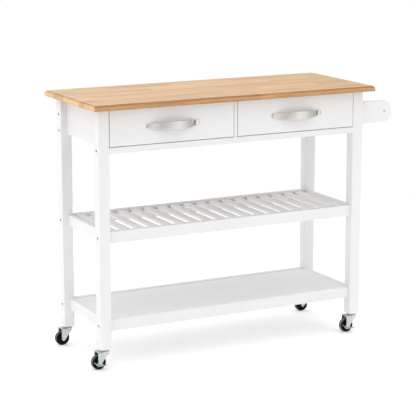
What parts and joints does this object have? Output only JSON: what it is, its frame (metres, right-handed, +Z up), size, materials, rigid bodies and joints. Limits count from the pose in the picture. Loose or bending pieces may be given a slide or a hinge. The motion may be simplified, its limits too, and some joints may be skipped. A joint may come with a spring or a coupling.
{
  "type": "kitchen island cart",
  "caption": "Rolling kitchen island cart: wood worktop, white frame, two bow-handled drawers, slatted shelf, closed shelf, towel rail and swivel casters.",
  "frame": {"origin": "on the floor, in the middle of the whole cart's box", "axes": "+X along the worktop towards the towel rail, +Y from the drawer fronts to the back, +Z up"},
  "size_m": [1.154, 0.424, 0.885],
  "materials": {
    "worktop_wood": "satin clear lacquer on edge-glued rubberwood",
    "white_paint": "satin white paint on wood",
    "drawer_plywood": "bare birch plywood",
    "drawer_hardboard": "white faced hardboard",
    "beech_dowel": "plain beech",
    "satin_nickel": "satin nickel",
    "zinc_steel": "bright zinc plate",
    "black_wheel": "moulded black"
  },
  "bodies": {
    "frame": {"worktop": "worktop_wood", "leg_front_left": "white_paint", "leg_front_right": "white_paint", "leg_back_left": "white_paint", "leg_back_right": "white_paint", "side_apron_left": "white_paint", "side_apron_right": "white_paint", "back_apron": "white_paint", "drawer_rail": "white_paint", "drawer_divider": "white_paint", "shelf_slats": "white_paint", "lower_shelf_panel": "white_paint", "shelf_cleats": "white_paint", "towel_bracket_front": "white_paint", "towel_bracket_back": "white_paint", "towel_rod": "white_paint", "upper_shelf_rail_front": "white_paint", "upper_shelf_rail_back": "white_paint", "upper_shelf_rail_left": "white_paint", "upper_shelf_rail_right": "white_paint", "lower_shelf_rail_front": "white_paint", "lower_shelf_rail_back": "white_paint", "lower_shelf_rail_left": "white_paint", "lower_shelf_rail_right": "white_paint", "drawer_runners": "drawer_plywood", "caster_stems": "zinc_steel", "stem_inserts": "zinc_steel", "frame_bolts": "zinc_steel", "barrel_nuts": "zinc_steel", "worktop_brackets": "zinc_steel", "worktop_bracket_screws": "zinc_steel", "towel_rail_screws": "zinc_steel", "side_frame_dowels": "beech_dowel"},
    "drawer_left": {"drawer_left_front": "white_paint", "drawer_left_sides": "drawer_plywood", "drawer_left_back": "drawer_plywood", "drawer_left_bottom": "drawer_hardboard", "drawer_left_handle": "satin_nickel", "drawer_left_screws": "zinc_steel"},
    "drawer_right": {"drawer_right_front": "white_paint", "drawer_right_sides": "drawer_plywood", "drawer_right_back": "drawer_plywood", "drawer_right_bottom": "drawer_hardboard", "drawer_right_handle": "satin_nickel", "drawer_right_screws": "zinc_steel"},
    "caster_front_left": {"caster_fork_front_left": "zinc_steel", "caster_axle_front_left": "zinc_steel"},
    "wheel_front_left": {"caster_wheel_front_left": "black_wheel"},
    "caster_front_right": {"caster_fork_front_right": "zinc_steel", "caster_axle_front_right": "zinc_steel"},
    "wheel_front_right": {"caster_wheel_front_right": "black_wheel"},
    "caster_back_left": {"caster_fork_back_left": "zinc_steel", "caster_axle_back_left": "zinc_steel"},
    "wheel_back_left": {"caster_wheel_back_left": "black_wheel"},
    "caster_back_right": {"caster_fork_back_right": "zinc_steel", "caster_axle_back_right": "zinc_steel"},
    "wheel_back_right": {"caster_wheel_back_right": "black_wheel"},
    "brake_left": {"brake_rocker_left": "zinc_steel"},
    "brake_right": {"brake_rocker_right": "zinc_steel"}
  },
  "joints": [
    {"name": "drawer_left_slide", "type": "slide", "parent": "frame", "child": "drawer_left", "axis": [0, -1, 0], "range_m": [0, 0.25]},
    {"name": "drawer_right_slide", "type": "slide", "parent": "frame", "child": "drawer_right", "axis": [0, -1, 0], "range_m": [0, 0.25]},
    {"name": "caster_front_left_swivel", "type": "hinge", "parent": "frame", "child": "caster_front_left", "pos_m": [-0.529, -0.157, 0.058], "axis": [0, 0, 1], "continuous": true},
    {"name": "wheel_front_left_roll", "type": "hinge", "parent": "caster_front_left", "child": "wheel_front_left", "pos_m": [-0.551, -0.157, 0.025], "axis": [0, 1, 0], "continuous": true},
    {"name": "caster_front_right_swivel", "type": "hinge", "parent": "frame", "child": "caster_front_right", "pos_m": [0.433, -0.157, 0.058], "axis": [0, 0, 1], "continuous": true},
    {"name": "wheel_front_right_roll", "type": "hinge", "parent": "caster_front_right", "child": "wheel_front_right", "pos_m": [0.411, -0.157, 0.025], "axis": [0, 1, 0], "continuous": true},
    {"name": "caster_back_left_swivel", "type": "hinge", "parent": "frame", "child": "caster_back_left", "pos_m": [-0.529, 0.157, 0.058], "axis": [0, 0, 1], "continuous": true},
    {"name": "wheel_back_left_roll", "type": "hinge", "parent": "caster_back_left", "child": "wheel_back_left", "pos_m": [-0.551, 0.157, 0.025], "axis": [0, 1, 0], "continuous": true},
    {"name": "caster_back_right_swivel", "type": "hinge", "parent": "frame", "child": "caster_back_right", "pos_m": [0.433, 0.157, 0.058], "axis": [0, 0, 1], "continuous": true},
    {"name": "wheel_back_right_roll", "type": "hinge", "parent": "caster_back_right", "child": "wheel_back_right", "pos_m": [0.411, 0.157, 0.025], "axis": [0, 1, 0], "continuous": true},
    {"name": "brake_left_rock", "type": "hinge", "parent": "caster_front_left", "child": "brake_left", "pos_m": [-0.551, -0.157, 0.025], "axis": [0, -1, 0], "range_deg": [0, 15]},
    {"name": "brake_right_rock", "type": "hinge", "parent": "caster_front_right", "child": "brake_right", "pos_m": [0.411, -0.157, 0.025], "axis": [0, -1, 0], "range_deg": [0, 15]}
  ]
}
